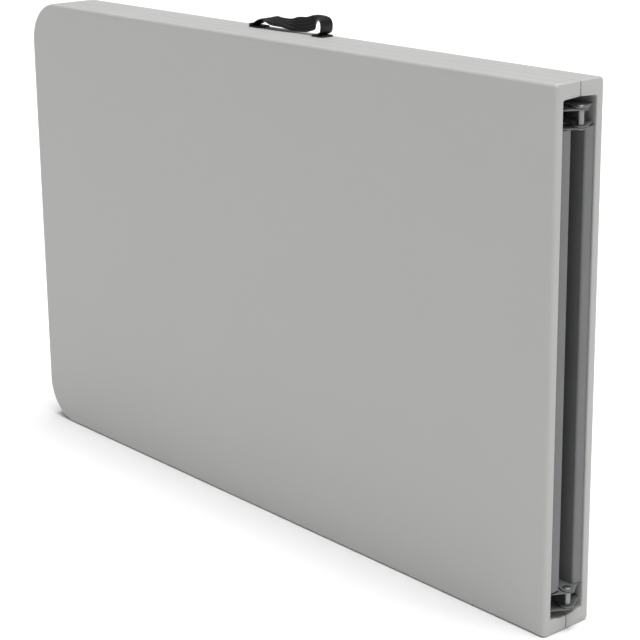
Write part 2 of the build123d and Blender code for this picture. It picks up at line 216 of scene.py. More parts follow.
class StageSettings(bpy.types.PropertyGroup):
    """Camera, floor and light."""

    lens: FloatProperty(name="Lens", description="Focal length in millimetres", default=100.96)
    shift: FloatProperty(name="Shift", description="Vertical lens shift", default=-0.094)
    roll: FloatProperty(
        name="Roll", description="Turn of the camera about its view",
        default=math.radians(0.616), unit="ROTATION",
    )
    position: FloatVectorProperty(
        name="Position", description="Camera position",
        default=(2.0859, -1.7272, 1.143), subtype="TRANSLATION",
    )
    aim: FloatVectorProperty(
        name="Aim", description="Point the camera looks at",
        default=(0.1911, -0.083, 0.4602), subtype="TRANSLATION",
    )
    surround: FloatProperty(
        name="Surround", description="Brightness of the soft surroundings overhead", default=0.5
    )
    horizon: FloatProperty(
        name="Horizon", description="Brightness of the surroundings at eye level", default=0.07
    )
    backdrop: FloatProperty(
        name="Backdrop", description="Brightness of the surroundings as the camera sees them", default=0.985
    )
    overhead: FloatProperty(name="Overhead", description="Strength of the overhead light", default=3.3)
    softness: FloatProperty(
        name="Softness", description="Width of the overhead light in the sky",
        default=math.radians(40), unit="ROTATION",
    )
    side: FloatProperty(name="Side", description="Strength of the light facing the fold", default=0.45)
    side_softness: FloatProperty(
        name="Side softness", description="Width of the side light in the sky",
        default=math.radians(60), unit="ROTATION",
    )
    floor: FloatVectorProperty(
        name="Floor", description="Floor colour", default=(0.9, 0.9, 0.9), subtype="COLOR"
    )


class TableSettings(bpy.types.PropertyGroup):
    """Every setting of the table's looks."""

    top: PointerProperty(type=TopShape)
    steel: PointerProperty(type=SteelShape)
    handle: PointerProperty(type=HandleShape)
    colours: PointerProperty(type=Colours)
    stage: PointerProperty(type=StageSettings)


# ---------------------------------------------------------------- finishes


class Signal:
    """A number that varies over a surface; arithmetic on it adds Math nodes."""

    def __init__(self, finish, socket):
        self.finish = finish
        self.socket = socket

    def math(self, operation, *values):
        """Math node with this operation on the given values."""
        node = self.finish.node("ShaderNodeMath", {"operation": operation}, dict(enumerate(values)))
        return Signal(self.finish, node.outputs[0])

    def __add__(self, other):
        return self.math("ADD", self, other)

    def __radd__(self, other):
        return self.math("ADD", other, self)

    def __sub__(self, other):
        return self.math("SUBTRACT", self, other)

    def __rsub__(self, other):
        return self.math("SUBTRACT", other, self)

    def __mul__(self, other):
        return self.math("MULTIPLY", self, other)

    def __rmul__(self, other):
        return self.math("MULTIPLY", other, self)

    def above(self, edge, width):
        """0 below the edge, 1 a width above it."""
        ramp = (self - edge) * (1 / width)
        return ramp.math("MINIMUM", ramp.math("MAXIMUM", ramp, 0.0), 1.0)


def new_node(tree, kind, settings=None, inputs=None):
    """New node in a tree: its settings first, then the values or links of its sockets."""
    node = tree.nodes.new(kind)
    for name, value in (settings or {}).items():
        setattr(node, name, value)
    for key, value in (inputs or {}).items():
        source = value.socket if isinstance(value, Signal) else value
        if isinstance(source, bpy.types.NodeSocket):
            tree.links.new(source, node.inputs[key])
        else:
            node.inputs[key].default_value = source
    return node


class Finish:
    """A material with one Principled shader, patterned on Object coordinates."""

    def __init__(self, name, settings):
        self.material = bpy.data.materials.new(name)
        self.material.use_nodes = True
        self.tree = self.material.node_tree
        self.shader = self.tree.nodes["Principled BSDF"]
        for socket, value in settings.items():
            self.shader.inputs[socket].default_value = value
        self.position = self.node("ShaderNodeTexCoord").outputs["Object"]

    def node(self, kind, settings=None, inputs=None):
        """New node of this finish."""
        return new_node(self.tree, kind, settings, inputs)

    def noise(self, size, detail=2.0, stretch=(1, 1, 1)):
        """Cloudy pattern whose features are about this size in metres, longer where stretch is small."""
        where = self.node("ShaderNodeMapping", inputs={"Vector": self.position, "Scale": stretch})
        inputs = {"Vector": where.outputs[0], "Scale": 1 / size, "Detail": detail}
        return Signal(self, self.node("ShaderNodeTexNoise", inputs=inputs).outputs[0])

    def cells(self, size):
        """Distance from the middle of cells of about this size."""
        inputs = {"Vector": self.position, "Scale": 1 / size}
        return Signal(self, self.node("ShaderNodeTexVoronoi", inputs=inputs).outputs["Distance"])

    def axis(self, name):
        """One of the Object coordinates."""
        return Signal(self, self.node("ShaderNodeSeparateXYZ", inputs={0: self.position}).outputs[name])

    def colour(self, amount, first, second):
        """Base Color from the first colour to the second as the amount goes from 0 to 1."""
        node = self.node("ShaderNodeMix", {"data_type": "RGBA"})
        self.tree.links.new(amount.socket, node.inputs["Factor"])
        colours = [socket for socket in node.inputs if socket.type == "RGBA"]
        colours[0].default_value = (*first, 1)
        colours[1].default_value = (*second, 1)
        mixed = [socket for socket in node.outputs if socket.type == "RGBA"]
        self.tree.links.new(mixed[0], self.shader.inputs["Base Color"])

    def feed(self, socket, signal):
        """Signal into one of the shader's sockets."""
        self.tree.links.new(signal.socket, self.shader.inputs[socket])

    def relief(self, height, depth):
        """Bump from a height of 0 to 1 that stands for this depth in metres."""
        inputs = {"Height": height, "Strength": 1.0, "Distance": depth}
        node = self.node("ShaderNodeBump", inputs=inputs)
        self.tree.links.new(node.outputs["Normal"], self.shader.inputs["Normal"])


def shaded(colour, factor):
    """Colour made lighter or darker."""
    return tuple(min(channel * factor, 1.0) for channel in colour)


def plastic_finish(colours):
    """Blow-moulded polyethylene: fine pebble grain, faint clouding and a soft sheen."""
    finish = Finish("moulded_plastic", {"IOR": 1.5, "Specular IOR Level": 0.45})
    cloud = finish.noise(90 * MM, 3.0)
    speck = finish.noise(5 * MM, 2.0)
    pebble = finish.cells(1.6 * MM)
    sag = finish.noise(34 * MM, 1.0)
    scuff = finish.noise(14 * MM, 4.0, (1, 1, 0.12)).above(0.66, 0.1)
    tone = cloud * 0.6 + speck * 0.25 + scuff * 0.15
    finish.colour(tone, shaded(colours.plastic, 0.965), shaded(colours.plastic, 1.035))
    finish.feed("Roughness", 0.4 + cloud * 0.08 + speck * 0.05 + scuff * 0.06)
    finish.relief(sag * 0.75 + pebble * 0.12 + speck * 0.05, 0.35 * MM)
    return finish.material


def powder_coat_finish(colours):
    """Gray powder coat: orange peel, faint specks and rubbed patches."""
    finish = Finish("gray_powder_coat", {"IOR": 1.5, "Specular IOR Level": 0.5})
    peel = finish.noise(1.3 * MM, 2.0)
    cloud = finish.noise(60 * MM, 3.0)
    rub = finish.noise(9 * MM, 5.0, (0.2, 1, 0.2)).above(0.62, 0.14)
    finish.colour(cloud * 0.7 + rub * 0.3, shaded(colours.steel, 0.9), shaded(colours.steel, 1.14))
    finish.feed("Roughness", 0.36 + peel * 0.1 + rub * 0.14)
    finish.relief(peel, 0.09 * MM)
    return finish.material


def zinc_finish(colours):
    """Zinc plate: drawn streaks and a dull spangle."""
    finish = Finish("zinc_plate", {"Metallic": 1.0})
    streak = finish.noise(0.5 * MM, 3.0, (1, 1, 0.15))
    spangle = finish.cells(4 * MM)
    finish.colour(spangle, shaded(colours.zinc, 0.82), shaded(colours.zinc, 1.1))
    finish.feed("Roughness", 0.28 + streak * 0.2 + spangle * 0.08)
    finish.relief(streak, 0.03 * MM)
    return finish.material


def black_plastic_finish(colours):
    """Black moulded plastic with a spark-eroded grain."""
    finish = Finish("black_plastic", {"IOR": 1.48, "Specular IOR Level": 0.4})
    grain = finish.cells(0.7 * MM)
    cloud = finish.noise(20 * MM, 3.0)
    finish.colour(cloud, shaded(colours.black, 0.8), shaded(colours.black, 1.6))
    finish.feed("Roughness", 0.45 + grain * 0.15 + cloud * 0.08)
    finish.relief(grain, 0.05 * MM)
    return finish.material


def strap_finish(colours):
    """Soft black vinyl: fine pebble, a little dust, and a painted sheen as lighter clouds in its colour."""
    finish = Finish("black_vinyl", {"IOR": 1.52, "Specular IOR Level": 0.3})
    pebble = finish.cells(1.1 * MM)
    dust = finish.noise(6 * MM, 4.0).above(0.56, 0.2)
    # Painted sheen: a 30 mm cloud that lightens the base colour to stand in for a highlight.
    painted_sheen = finish.noise(30 * MM, 2.0)
    finish.colour(dust * 0.5 + painted_sheen * 0.3, shaded(colours.black, 0.5), shaded(colours.black, 1.6))
    finish.feed("Roughness", 0.34 + pebble * 0.12 + dust * 0.18)
    finish.relief(pebble, 0.07 * MM)
    return finish.material


FINISHES = {
    "moulded_plastic": plastic_finish,
    "gray_steel": powder_coat_finish,
    "zinc_steel": zinc_finish,
    "black_plastic": black_plastic_finish,
    "strap": strap_finish,
}
MADE_FINISHES = {}


def finish_for(slot):
    """The finish of a material slot, made once."""
    if slot not in MADE_FINISHES:
        MADE_FINISHES[slot] = FINISHES[slot](bpy.context.scene.folding_table.colours)
    return MADE_FINISHES[slot]


# ---------------------------------------------------------------- shapes


def grid_faces(rows, columns, first=0, wrap_rows=False, wrap_columns=True):
    """Four-sided faces of a grid of points numbered row by row."""
    row_starts = np.arange(rows if wrap_rows else rows - 1)
    column_starts = np.arange(columns if wrap_columns else columns - 1)
    row, column = np.meshgrid(row_starts, column_starts, indexing="ij")
    next_row = (row + 1) % rows
    next_column = (column + 1) % columns
    corners = (row, column), (row, next_column), (next_row, next_column), (next_row, column)
    return (first + np.stack([r * columns + c for r, c in corners], axis=-1)).reshape(-1, 4)


def solid(rings, closed=False):
    """Skin over rings (rings, points, 3): flat ends, or joined end to end if closed."""
    count, size = rings.shape[:2]
    faces = grid_faces(count, size, wrap_rows=closed).tolist()
    if not closed:
        faces.append(list(range(size))[::-1])
        faces.append([(count - 1) * size + i for i in range(size)])
    return rings.reshape(-1, 3), faces


def together(solids):
    """Several solids as one list of points and one of faces."""
    points, faces, first = [], [], 0
    for some_points, some_faces in solids:
        points.append(some_points)
        faces += [[first + i for i in face] for face in some_faces]
        first += len(some_points)
    return np.vstack(points), faces


def turned(points):
    """Points of half a moved to half b: half a turn about the X direction through mid width."""
    return np.column_stack([points[:, 0], -points[:, 1], WIDTH - points[:, 2]])


def piece(name, shape, body, slot, replaced=(), crease=35.0):
    """Mesh piece at the origin, smooth up to the crease angle, on a body and in a finish."""
    points, faces = shape
    mesh = bpy.data.meshes.new(name)
    mesh.from_pydata(points.tolist(), [], faces)
    work = bmesh.new()
    work.from_mesh(mesh)
    bmesh.ops.remove_doubles(work, verts=work.verts, dist=1e-6)
    bmesh.ops.recalc_face_normals(work, faces=work.faces)
    work.to_mesh(mesh)
    work.free()
    mesh.shade_smooth()
    mesh.set_sharp_from_angle(angle=math.radians(crease))
    mesh.materials.append(finish_for(slot))
    made = bpy.data.objects.new(name, mesh)
    bpy.context.scene.collection.objects.link(made)
    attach(made, body)
    if replaced:
        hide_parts(*replaced)


def circle(radius, count=32):
    """Points of a circle, counter-clockwise from the first axis."""
    angle = np.linspace(0, 2 * math.pi, count, endpoint=False)
    return radius * np.column_stack([np.cos(angle), np.sin(angle)])


def arc(middle, radius, start, end, count=8):
    """Points of an arc between two angles in degrees."""
    angle = np.radians(np.linspace(start, end, count))
    return np.array(middle) + radius * np.column_stack([np.cos(angle), np.sin(angle)])


def inset(outline, distance):
    """Outline with each corner moved inwards along the mitre of its two edges."""
    before = outline - np.roll(outline, 1, axis=0)
    after = np.roll(outline, -1, axis=0) - outline
    sides = []
    for edge in (before, after):
        edge = edge / np.maximum(np.linalg.norm(edge, axis=1, keepdims=True), 1e-12)
        sides.append(np.column_stack([-edge[:, 1], edge[:, 0]]))
    lean = 1 + np.sum(sides[0] * sides[1], axis=1, keepdims=True)
    return outline + distance * (sides[0] + sides[1]) / np.maximum(lean, 0.2)


def stand(flat, height, axes):
    """Flat points and a height as 3-D points; axes says where the flat pair and the height go."""
    columns = {axes[0]: flat[:, 0], axes[1]: flat[:, 1], axes[2]: np.full(len(flat), height)}
    return np.column_stack([columns["x"], columns["y"], columns["z"]])


def slab(outline, low, high, edge, axes="xyz", steps=3):
    """Solid between two heights whose rim is rounded: inset by e(1 - sin t) at height e(1 - cos t)."""
    turn = np.linspace(0, math.pi / 2, steps + 1)
    rises = edge * (1 - np.cos(turn))
    insets = edge * (1 - np.sin(turn))
    rings = [stand(inset(outline, d), low + h, axes) for d, h in zip(insets, rises)]
    rings += [stand(inset(outline, d), high - h, axes) for d, h in zip(insets[::-1], rises[::-1])]
    return solid(np.array(rings))


def lathe(profile, middle, axes="xyz", count=32, closed=False):
    """Surface turned about an axis through a point: each (radius, height) of the profile is one ring."""
    rings = []
    for radius, height in profile:
        rings.append(stand(circle(radius, count), height, axes))
    return shifted(solid(np.array(rings), closed), middle)


def shifted(shape, move):
    """Shape moved by a vector."""
    return shape[0] + np.array(move), shape[1]


def rounded(corners, radii, closed=True):
    """Corner points of a path with each corner turned into an arc of its radius, ends kept if open."""
    corners = np.array(corners, float)
    count = len(corners)
    path = [] if closed else [corners[:1]]
    for i in range(count) if closed else range(1, count - 1):
        corner = corners[i]
        to_last, to_next = corners[i - 1] - corner, corners[(i + 1) % count] - corner
        to_last, to_next = to_last / np.linalg.norm(to_last), to_next / np.linalg.norm(to_next)
        opening = math.acos(np.clip(to_last @ to_next, -1, 1))
        reach = radii[i] / math.tan(opening / 2)
        bisector = (to_last + to_next) / np.linalg.norm(to_last + to_next)
        middle = corner + bisector * radii[i] / math.sin(opening / 2)
        start, end = corner + to_last * reach - middle, corner + to_next * reach - middle
        steps = max(2, int(math.degrees(math.pi - opening) / 9) + 2)
        share = np.linspace(0, 1, steps)[:, None]
        swept = math.pi - opening
        weights = np.sin((1 - share) * swept), np.sin(share * swept)
        path.append(middle + (weights[0] * start + weights[1] * end) / math.sin(swept))
    if not closed:
        path.append(corners[-1:])
    return np.vstack(path)


def tube_profile(outer, inner, low, high, edge):
    """Closed (radius, height) section of a tube wall with rounded rims."""
    section = [(outer, low), (outer, high), (inner, high), (inner, low)]
    return rounded(section, [edge] * 4)


def eye(outer, inner, middle, low, high, edge=0.3 * MM, count=40):
    """Round plate with a hole, its axis along Z."""
    return lathe(tube_profile(outer, inner, low, high, edge), middle, count=count, closed=True)


def dome(radius, height, edge_share=0.35, steps=6):
    """(radius, height) points of a shallow dome from its rim to near its middle."""
    turn = np.linspace(0, math.pi / 2, steps, endpoint=False)
    rim = np.array([(radius, 0.0), (radius, height * edge_share)])
    rise = height * (edge_share + (1 - edge_share) * np.sin(turn))
    crown = np.column_stack([radius * np.cos(turn), rise])
    return np.vstack([rim, crown[1:]])


def screw_head(radius, height, count=16):
    """Pan head with a cross recess, standing on the flat plane of its axes, as rings of (u, v, height)."""
    crown = [(radius * share, height) for share in (0.5, 0.22, 0.1)]
    profile = np.vstack([dome(radius, height), crown])
    angle = np.linspace(0, 2 * math.pi, count, endpoint=False)
    reach = np.where(np.arange(count) % 4 == 0, radius * 0.62, radius * 0.3)
    rings = []
    for ring_radius, ring_height in profile:
        depth = np.where(ring_radius < reach, height * 0.6, 0.0)
        flat = circle(ring_radius, count)
        rings.append(np.column_stack([flat, ring_height - depth]))
    return np.array(rings)


def screws_at(places, radius, height, axes):
    """Screw heads at (u, v, seat) places; axes says where u, v and the height go."""
    head = screw_head(radius, height)
    order = [axes.index(name) for name in "xyz"]
    return together([solid((head + np.array(place))[:, :, order]) for place in places])


def bead(curve, outward, along, radius, ripples):
    """Weld bead: a rippled closed tube round a closed curve of points."""
    count = len(curve)
    swell = radius * (1 + 0.12 * np.sin(np.arange(count) * 2 * math.pi * ripples / count))
    angle = np.linspace(0, 2 * math.pi, 8, endpoint=False)
    outward, along = outward[:, None, :], along[:, None, :]
    round_it = np.cos(angle)[None, :, None] * outward + np.sin(angle)[None, :, None] * along
    return solid(curve[:, None, :] + swell[:, None, None] * round_it, closed=True)


# ---------------------------------------------------------------- pieces


def other(node):
    """Name of the same node on half b: low and high change places when a half is turned over."""
    stem, _, end = node[2:].rpartition("_")
    return f"b_{stem}_{OTHER_END[end]}" if end in OTHER_END else f"b_{node[2:]}"


def body_of(node):
    """Body that carries a CAD node."""
    return frame["nodes"][node]["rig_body"]


def pair(shape, node, slot, crease=35.0):
    """The same piece on half a and, turned over, on half b, in place of a CAD node."""
    points, faces = shape
    node_b = other(node)
    piece(f"{node}_look", (points, faces), body_of(node), slot, [node], crease)
    piece(f"{node_b}_look", (turned(points), faces), body_of(node_b), slot, [node_b], crease)


def rim_profile(top):
    """(inset, y) points round the low rim, from the table top to the underside."""
    outside = TOP_LOW.y
    seam_y = TOP_HIGH.y
    turn = np.linspace(0, math.pi / 2, 8)
    short_turn = turn[::2]
    foot = 3 * MM
    inner = 2.6 * MM
    wall = RIM + top.draft
    groove_y = outside / 2
    parts = [
        [(30 * MM, outside), (12 * MM, outside)],
        np.column_stack([top.edge * (1 - np.sin(turn)), outside + top.edge * (1 - np.cos(turn))]),
        [(0, groove_y - 0.8 * MM), (top.parting, groove_y - 0.2 * MM)],
        [(top.parting, groove_y + 0.2 * MM), (0, groove_y + 0.8 * MM)],
        np.column_stack([top.seam * (1 - np.cos(turn)), seam_y - top.seam * (1 - np.sin(turn))]),
        np.column_stack([RIM - inner * (1 - np.sin(turn)), seam_y - inner * (1 - np.cos(turn))]),
        np.column_stack([
            wall + foot * (1 - np.cos(short_turn)), UNDERSIDE_Y + foot * (1 - np.sin(short_turn))
        ]),
        [(30 * MM, UNDERSIDE_Y)],
    ]
    return np.vstack([np.array(part, float) for part in parts])


def pit_lines(first, count, top):
    """Grid lines across a row of pits, eight per pit, and each line's distance to its pit's middle."""
    offsets = top.pit_radius * np.array([-1, -0.75, -0.45, -0.15, 0.15, 0.45, 0.75, 1])
    middles = first + top.pit_pitch * np.arange(count)
    return (middles[:, None] + offsets).ravel(), np.tile(offsets, count), np.repeat(np.arange(count), 8)


def moulded_half(top):
    """Closed skin of half a.

    Each station across the length is one loop: the rim profile up the low side, the underside with its
    pits, and the rim profile down the high side. Over the outer corners the loop follows the corner arc:
    a point inset by d lies on a circle of radius (corner - d). At the fold the loops shrink along a
    quarter circle. A pit is a cosine dimple, depth/2 (1 + cos(pi r / radius)).
    """
    profile = rim_profile(top)
    outer_x, face_x = TOP_LOW.x, TOP_HIGH.x
    anchor = profile[-1, 0]
    rows = int((WIDTH - 2 * anchor - 2 * top.pit_radius) / top.pit_pitch) // 2 * 2 + 1
    z, z_offset, z_index = pit_lines(WIDTH / 2 - rows // 2 * top.pit_pitch, rows, top)
    first_x = outer_x + CORNER + top.pit_radius + 5 * MM
    columns = int((face_x - 20 * MM - first_x - top.pit_radius) / top.pit_pitch) + 1
    x, x_offset, x_index = pit_lines(first_x, columns, top)

    # Straight stations, then the corner, each as x and z of the low rim, and y of the underside
    rounding = 5 * MM
    straight = np.concatenate([[face_x - rounding], x[::-1], [outer_x + CORNER]])
    distance = np.hypot(x_offset[:, None], z_offset[None, :]) / top.pit_radius
    staggered = (x_index[:, None] + z_index[None, :]) % 2 == 0
    dimple = top.pit_depth / 2 * (1 + np.cos(math.pi * np.minimum(distance, 1))) * staggered
    depth = np.zeros((len(straight), len(z)))
    depth[1:-1] = dimple[::-1]
    phi = np.linspace(0, math.pi / 2, 13)[1:]
    circle_radius = (CORNER - profile[:, 0])[None, :]
    rim_x = np.vstack([
        np.repeat(straight[:, None], len(profile), axis=1),
        outer_x + CORNER - circle_radius * np.sin(phi)[:, None],
    ])
    rim_z = np.vstack([
        np.repeat(profile[None, :, 0], len(straight), axis=0),
        CORNER - circle_radius * np.cos(phi)[:, None],
    ])
    depth = np.vstack([depth, np.zeros((len(phi), len(z)))])
    share = (z - anchor) / (WIDTH - 2 * anchor)
    under_z = rim_z[:, -1:] + share * (WIDTH - 2 * rim_z[:, -1:])
    under_x = np.repeat(rim_x[:, -1:], len(z), axis=1)
    under_y = UNDERSIDE_Y - depth
    rim_y = np.repeat(profile[None, :, 1], len(rim_x), axis=0)
    loops = np.stack([
        np.hstack([rim_x, under_x, rim_x[:, ::-1]]),
        np.hstack([rim_y, under_y, rim_y[:, ::-1]]),
        np.hstack([rim_z, under_z, WIDTH - rim_z[:, ::-1]]),
    ], axis=-1)

    # Rounding at the fold: the first loop moves out to the face and shrinks
    first = loops[0]
    steepness = np.clip((-40 * MM - first[:, 1]) / (2 * MM), 0, 1)
    radius = (2 * MM + (rounding - 2 * MM) * steepness)[:, None]
    ends = []
    for turn in np.linspace(math.pi / 2, 0, 6):
        flat = inset(first[:, 1:], radius * (1 - math.cos(turn)))
        ends.append(np.column_stack([face_x - radius + radius * math.sin(turn), flat]))
    loops = np.vstack([np.array(ends), loops])
    count, size = loops.shape[:2]
    faces = grid_faces(count, size).tolist()
    rim = len(profile)
    faces.append(list(range(rim)))
    faces.append([0] + list(range(rim - 1, size - rim + 1)) + [size - 1])
    faces.append(list(range(size - rim, size)))

    # Outer end: strips between the two corners, the last one along the underside
    last = (count - 1) * size
    for i in range(rim - 2):
        faces.append([last + i, last + i + 1, last + size - 2 - i, last + size - 1 - i])
    faces.append([last + i for i in range(rim - 2, size - rim + 2)])
    return loops.reshape(-1, 3), faces


def channel_outline(depth_low, depth_high, side_low, side_high, bend):
    """Thin channel open towards the high depth, as a closed outline of (depth, side) points."""
    corners = [
        (depth_high, side_low), (depth_high, side_low + SHEET), (depth_low + SHEET, side_low + SHEET),
        (depth_low + SHEET, side_high - SHEET), (depth_high, side_high - SHEET), (depth_high, side_high),
        (depth_low, side_high), (depth_low, side_low),
    ]
    tip = SHEET * 0.3
    radii = [tip, tip, bend - SHEET, bend - SHEET, tip, tip, bend, bend]
    return rounded(corners, radii)


def side_rail(low_z, steel):
    """Channel with both flanges drawn out into hinge ears round the fold axis."""
    high_z = low_z + RAIL_WIDTH
    outline = channel_outline(UNDERSIDE_Y, UNDERSIDE_Y + RAIL_DEPTH, low_z, high_z, steel.bend)[::-1]
    shapes = [slab(outline, RAIL_LOW.x, EAR_ROOT_X, steel.broken_edge, "yzx")]
    neck = arc((FOLD_X, 0), EAR_RADIUS * 0.72, 215, 235, 4)
    web = rounded(
        [
            (EAR_ROOT_X - 2 * MM, UNDERSIDE_Y + 2 * MM), (FOLD_X - 7 * MM, UNDERSIDE_Y),
            (FOLD_X + 8.6 * MM, -5 * MM), tuple(neck[-1]), tuple(neck[0]), (FOLD_X - 5 * MM, 8.6 * MM),
            (EAR_ROOT_X + 12 * MM, UNDERSIDE_Y + RAIL_DEPTH + 5.7 * MM),
            (EAR_ROOT_X - 2 * MM, UNDERSIDE_Y + RAIL_DEPTH),
        ],
        [1 * MM, 6 * MM, 1 * MM, 0.2 * MM, 0.2 * MM, 1 * MM, 20 * MM, 1 * MM],
    )
    for flange_z in (low_z, high_z - SHEET):
        shapes.append(slab(web, flange_z, flange_z + SHEET, steel.broken_edge))
        boss = 0.1 * MM
        low_z_face, high_z_face = flange_z - boss, flange_z + SHEET + boss
        shapes.append(eye(EAR_RADIUS, PIN_BORE, (FOLD_X, 0, 0), low_z_face, high_z_face))
    return together(shapes)


def cross_rail(steel):
    """Channel across the fold end with its web facing out."""
    outline = channel_outline(-CROSS_HIGH.x, -CROSS_LOW.x, CROSS_LOW.y, CROSS_HIGH.y, steel.bend)
    outline = np.column_stack([-outline[:, 0], outline[:, 1]])
    return slab(outline, CROSS_LOW.z, CROSS_HIGH.z, steel.broken_edge)


def foot_plate(low, high, axis_low, axis_high, corner, edge, axes):
    """Plate with rounded corners between two corners of its outline."""
    outline = rounded([low, (high[0], low[1]), high, (low[0], high[1])], [corner] * 4)
    return slab(outline, axis_low, axis_high, edge, axes)


def leg_bracket(node):
    """Screwed foot and round ear for one end of the pivot tube."""
    low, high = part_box(node)
    inward = 1 if node.endswith("low") else -1
    wall = low.z if inward == 1 else high.z
    ear = sorted((wall, wall + inward * 3 * MM))
    bore = PIVOT_RADIUS + 0.1 * MM
    outer = bore + 1.9 * MM
    x, y = LEG_PIVOT.x, LEG_PIVOT.y
    thickness = 2 * MM
    plate = foot_plate(
        (low.z, low.x), (high.z, high.x), UNDERSIDE_Y, UNDERSIDE_Y + thickness, 4 * MM, 0.4 * MM, "zxy"
    )
    cradle = arc((x, y), bore + 0.9 * MM, 0, -180, 16)
    foot_y = UNDERSIDE_Y + 0.2 * MM
    web = np.vstack([[(x - outer, foot_y), (x + outer, foot_y), (x + outer, y)], cradle, [(x - outer, y)]])
    shrink = 0.05 * MM
    web_plate = slab(web, ear[0] + shrink, ear[1] - shrink, 0.2 * MM)
    return together([plate, web_plate, eye(outer, bore, (x, y, 0), ear[0], ear[1], 0.4 * MM)])


def saddle(main_axis_y, main_radius, bar_y, bar_radius, count=48):
    """Angles round a bar and how far its end stands from the axis of the tube that it meets."""
    angle = np.linspace(0, 2 * math.pi, count, endpoint=False)
    offset = bar_y + bar_radius * np.sin(angle) - main_axis_y
    return angle, np.sqrt(np.maximum(main_radius**2 - offset**2, 0))


def leg_tube(leg_z, end_x, steel):
    """Straight leg from a saddle on the pivot tube, with its weld bead."""
    angle, reach = saddle(LEG_PIVOT.y, PIVOT_RADIUS, LEG_PIVOT.y, LEG_RADIUS)
    y, z = LEG_PIVOT.y + LEG_RADIUS * np.sin(angle), leg_z + LEG_RADIUS * np.cos(angle)
    start = np.column_stack([LEG_PIVOT.x + reach - 0.3 * MM, y, z])
    stations = LEG_PIVOT.x + 0.02 + np.linspace(0, 1, 9) * (end_x - LEG_PIVOT.x - 0.02)
    rings = [start] + [np.column_stack([np.full_like(y, x), y, z]) for x in stations]
    outward = np.column_stack([np.zeros_like(y), np.sin(angle), np.cos(angle)])
    along = np.tile([1.0, 0.0, 0.0], (len(y), 1))
    curve = start + 0.9 * MM * along + 0.3 * MM * outward
    return together([solid(np.array(rings)), bead(curve, outward, along, steel.weld, 20)])


def crossbar(x, y, low_z, high_z, steel):
    """Round bar between the legs, saddled and welded at both ends."""
    angle, reach = saddle(LEG_PIVOT.y, LEG_RADIUS, y, BAR_RADIUS)
    side_x, side_y = x + BAR_RADIUS * np.cos(angle), y + BAR_RADIUS * np.sin(angle)
    outward = np.column_stack([np.cos(angle), np.sin(angle), np.zeros_like(angle)])
    along = np.tile([0.0, 0.0, 1.0], (len(angle), 1))
    low_end = np.column_stack([side_x, side_y, low_z + reach - 0.3 * MM])
    high_end = np.column_stack([side_x, side_y, high_z - reach + 0.3 * MM])
    middle = []
    for z in np.linspace(low_z + 30 * MM, high_z - 30 * MM, 7):
        middle.append(np.column_stack([side_x, side_y, np.full_like(side_x, z)]))
    shapes = [solid(np.array([low_end] + middle + [high_end]))]
    for curve, lift in ((low_end, 1), (high_end, -1)):
        seam = curve + lift * 0.8 * MM * along + 0.2 * MM * outward
        shapes.append(bead(seam, outward, along, steel.weld * 0.8, 12))
    return together(shapes)


def foot_cap(leg_z, start_x, end_x):
    """Ribbed plastic cap over the end of a leg."""
    length = end_x - start_x
    bore = LEG_RADIUS + 0.05 * MM
    skin = 14.1 * MM
    rim = skin + 0.4 * MM
    profile = [(6 * MM, length - 4 * MM), (bore - 0.2 * MM, length - 4 * MM)]
    profile += [(bore, length - 4.4 * MM), (bore, 0.5 * MM), (bore + 0.4 * MM, 0)]
    profile += [(skin - 0.2 * MM, 0), (rim, 0.5 * MM), (rim, 3.6 * MM)]
    profile += [(rim if i % 2 else skin, 5 * MM + i * 2.4 * MM) for i in range(12)]
    profile.append((rim, length - 5 * MM))
    for turn in np.linspace(0, math.pi / 2, 6):
        rounding = rim - 4 * MM * (1 - math.cos(turn)), length - 4.6 * MM + 4.4 * MM * math.sin(turn)
        profile.append(rounding)
    profile += [(9.5 * MM, length), (9 * MM, length - 0.6 * MM), (5 * MM, length - 0.6 * MM)]
    points, faces = lathe(profile, (0, 0, 0), "yzx", 40)
    return points + np.array([start_x, LEG_PIVOT.y, leg_z]), faces


def flat_link(start, end, low, high):
    """Flat bar in XY between two points, without its eyes."""
    start, end = np.array(start), np.array(end)
    along = (end - start) / np.linalg.norm(end - start)
    across = 4 * MM * np.array([-along[1], along[0]])
    outline = rounded([start - across, end - across, end + across, start + across], [0.6 * MM] * 4)
    return slab(outline, low, high, 0.7 * MM)


def rivet(x, y, seat, height, radius):
    """Domed rivet head on a seat, facing up or down along Z."""
    profile = [(r, h * (1 if height > 0 else -1)) for r, h in dome(radius, abs(height))]
    return lathe(profile, (x, y, seat), count=24)


def knee_eye(x, y, low, high):
    """Rounded eye at the end of a brace link."""
    profile = tube_profile(5 * MM, 1 * MM, low - BOSS, high + BOSS, 0.7 * MM)
    return lathe(profile, (x, y, 0), count=32, closed=True)


def headed_pin(x, y, low, high, shaft, head_radius, head_height):
    """Pin along Z with a domed head beyond each end of its shaft."""
    crown = dome(head_radius, head_height)
    profile = [(r, low - h) for r, h in crown[::-1]]
    profile += [(shaft, low), (shaft, high)]
    profile += [(r, high + h) for r, h in crown]
    return lathe(profile, (x, y, 0), count=32)


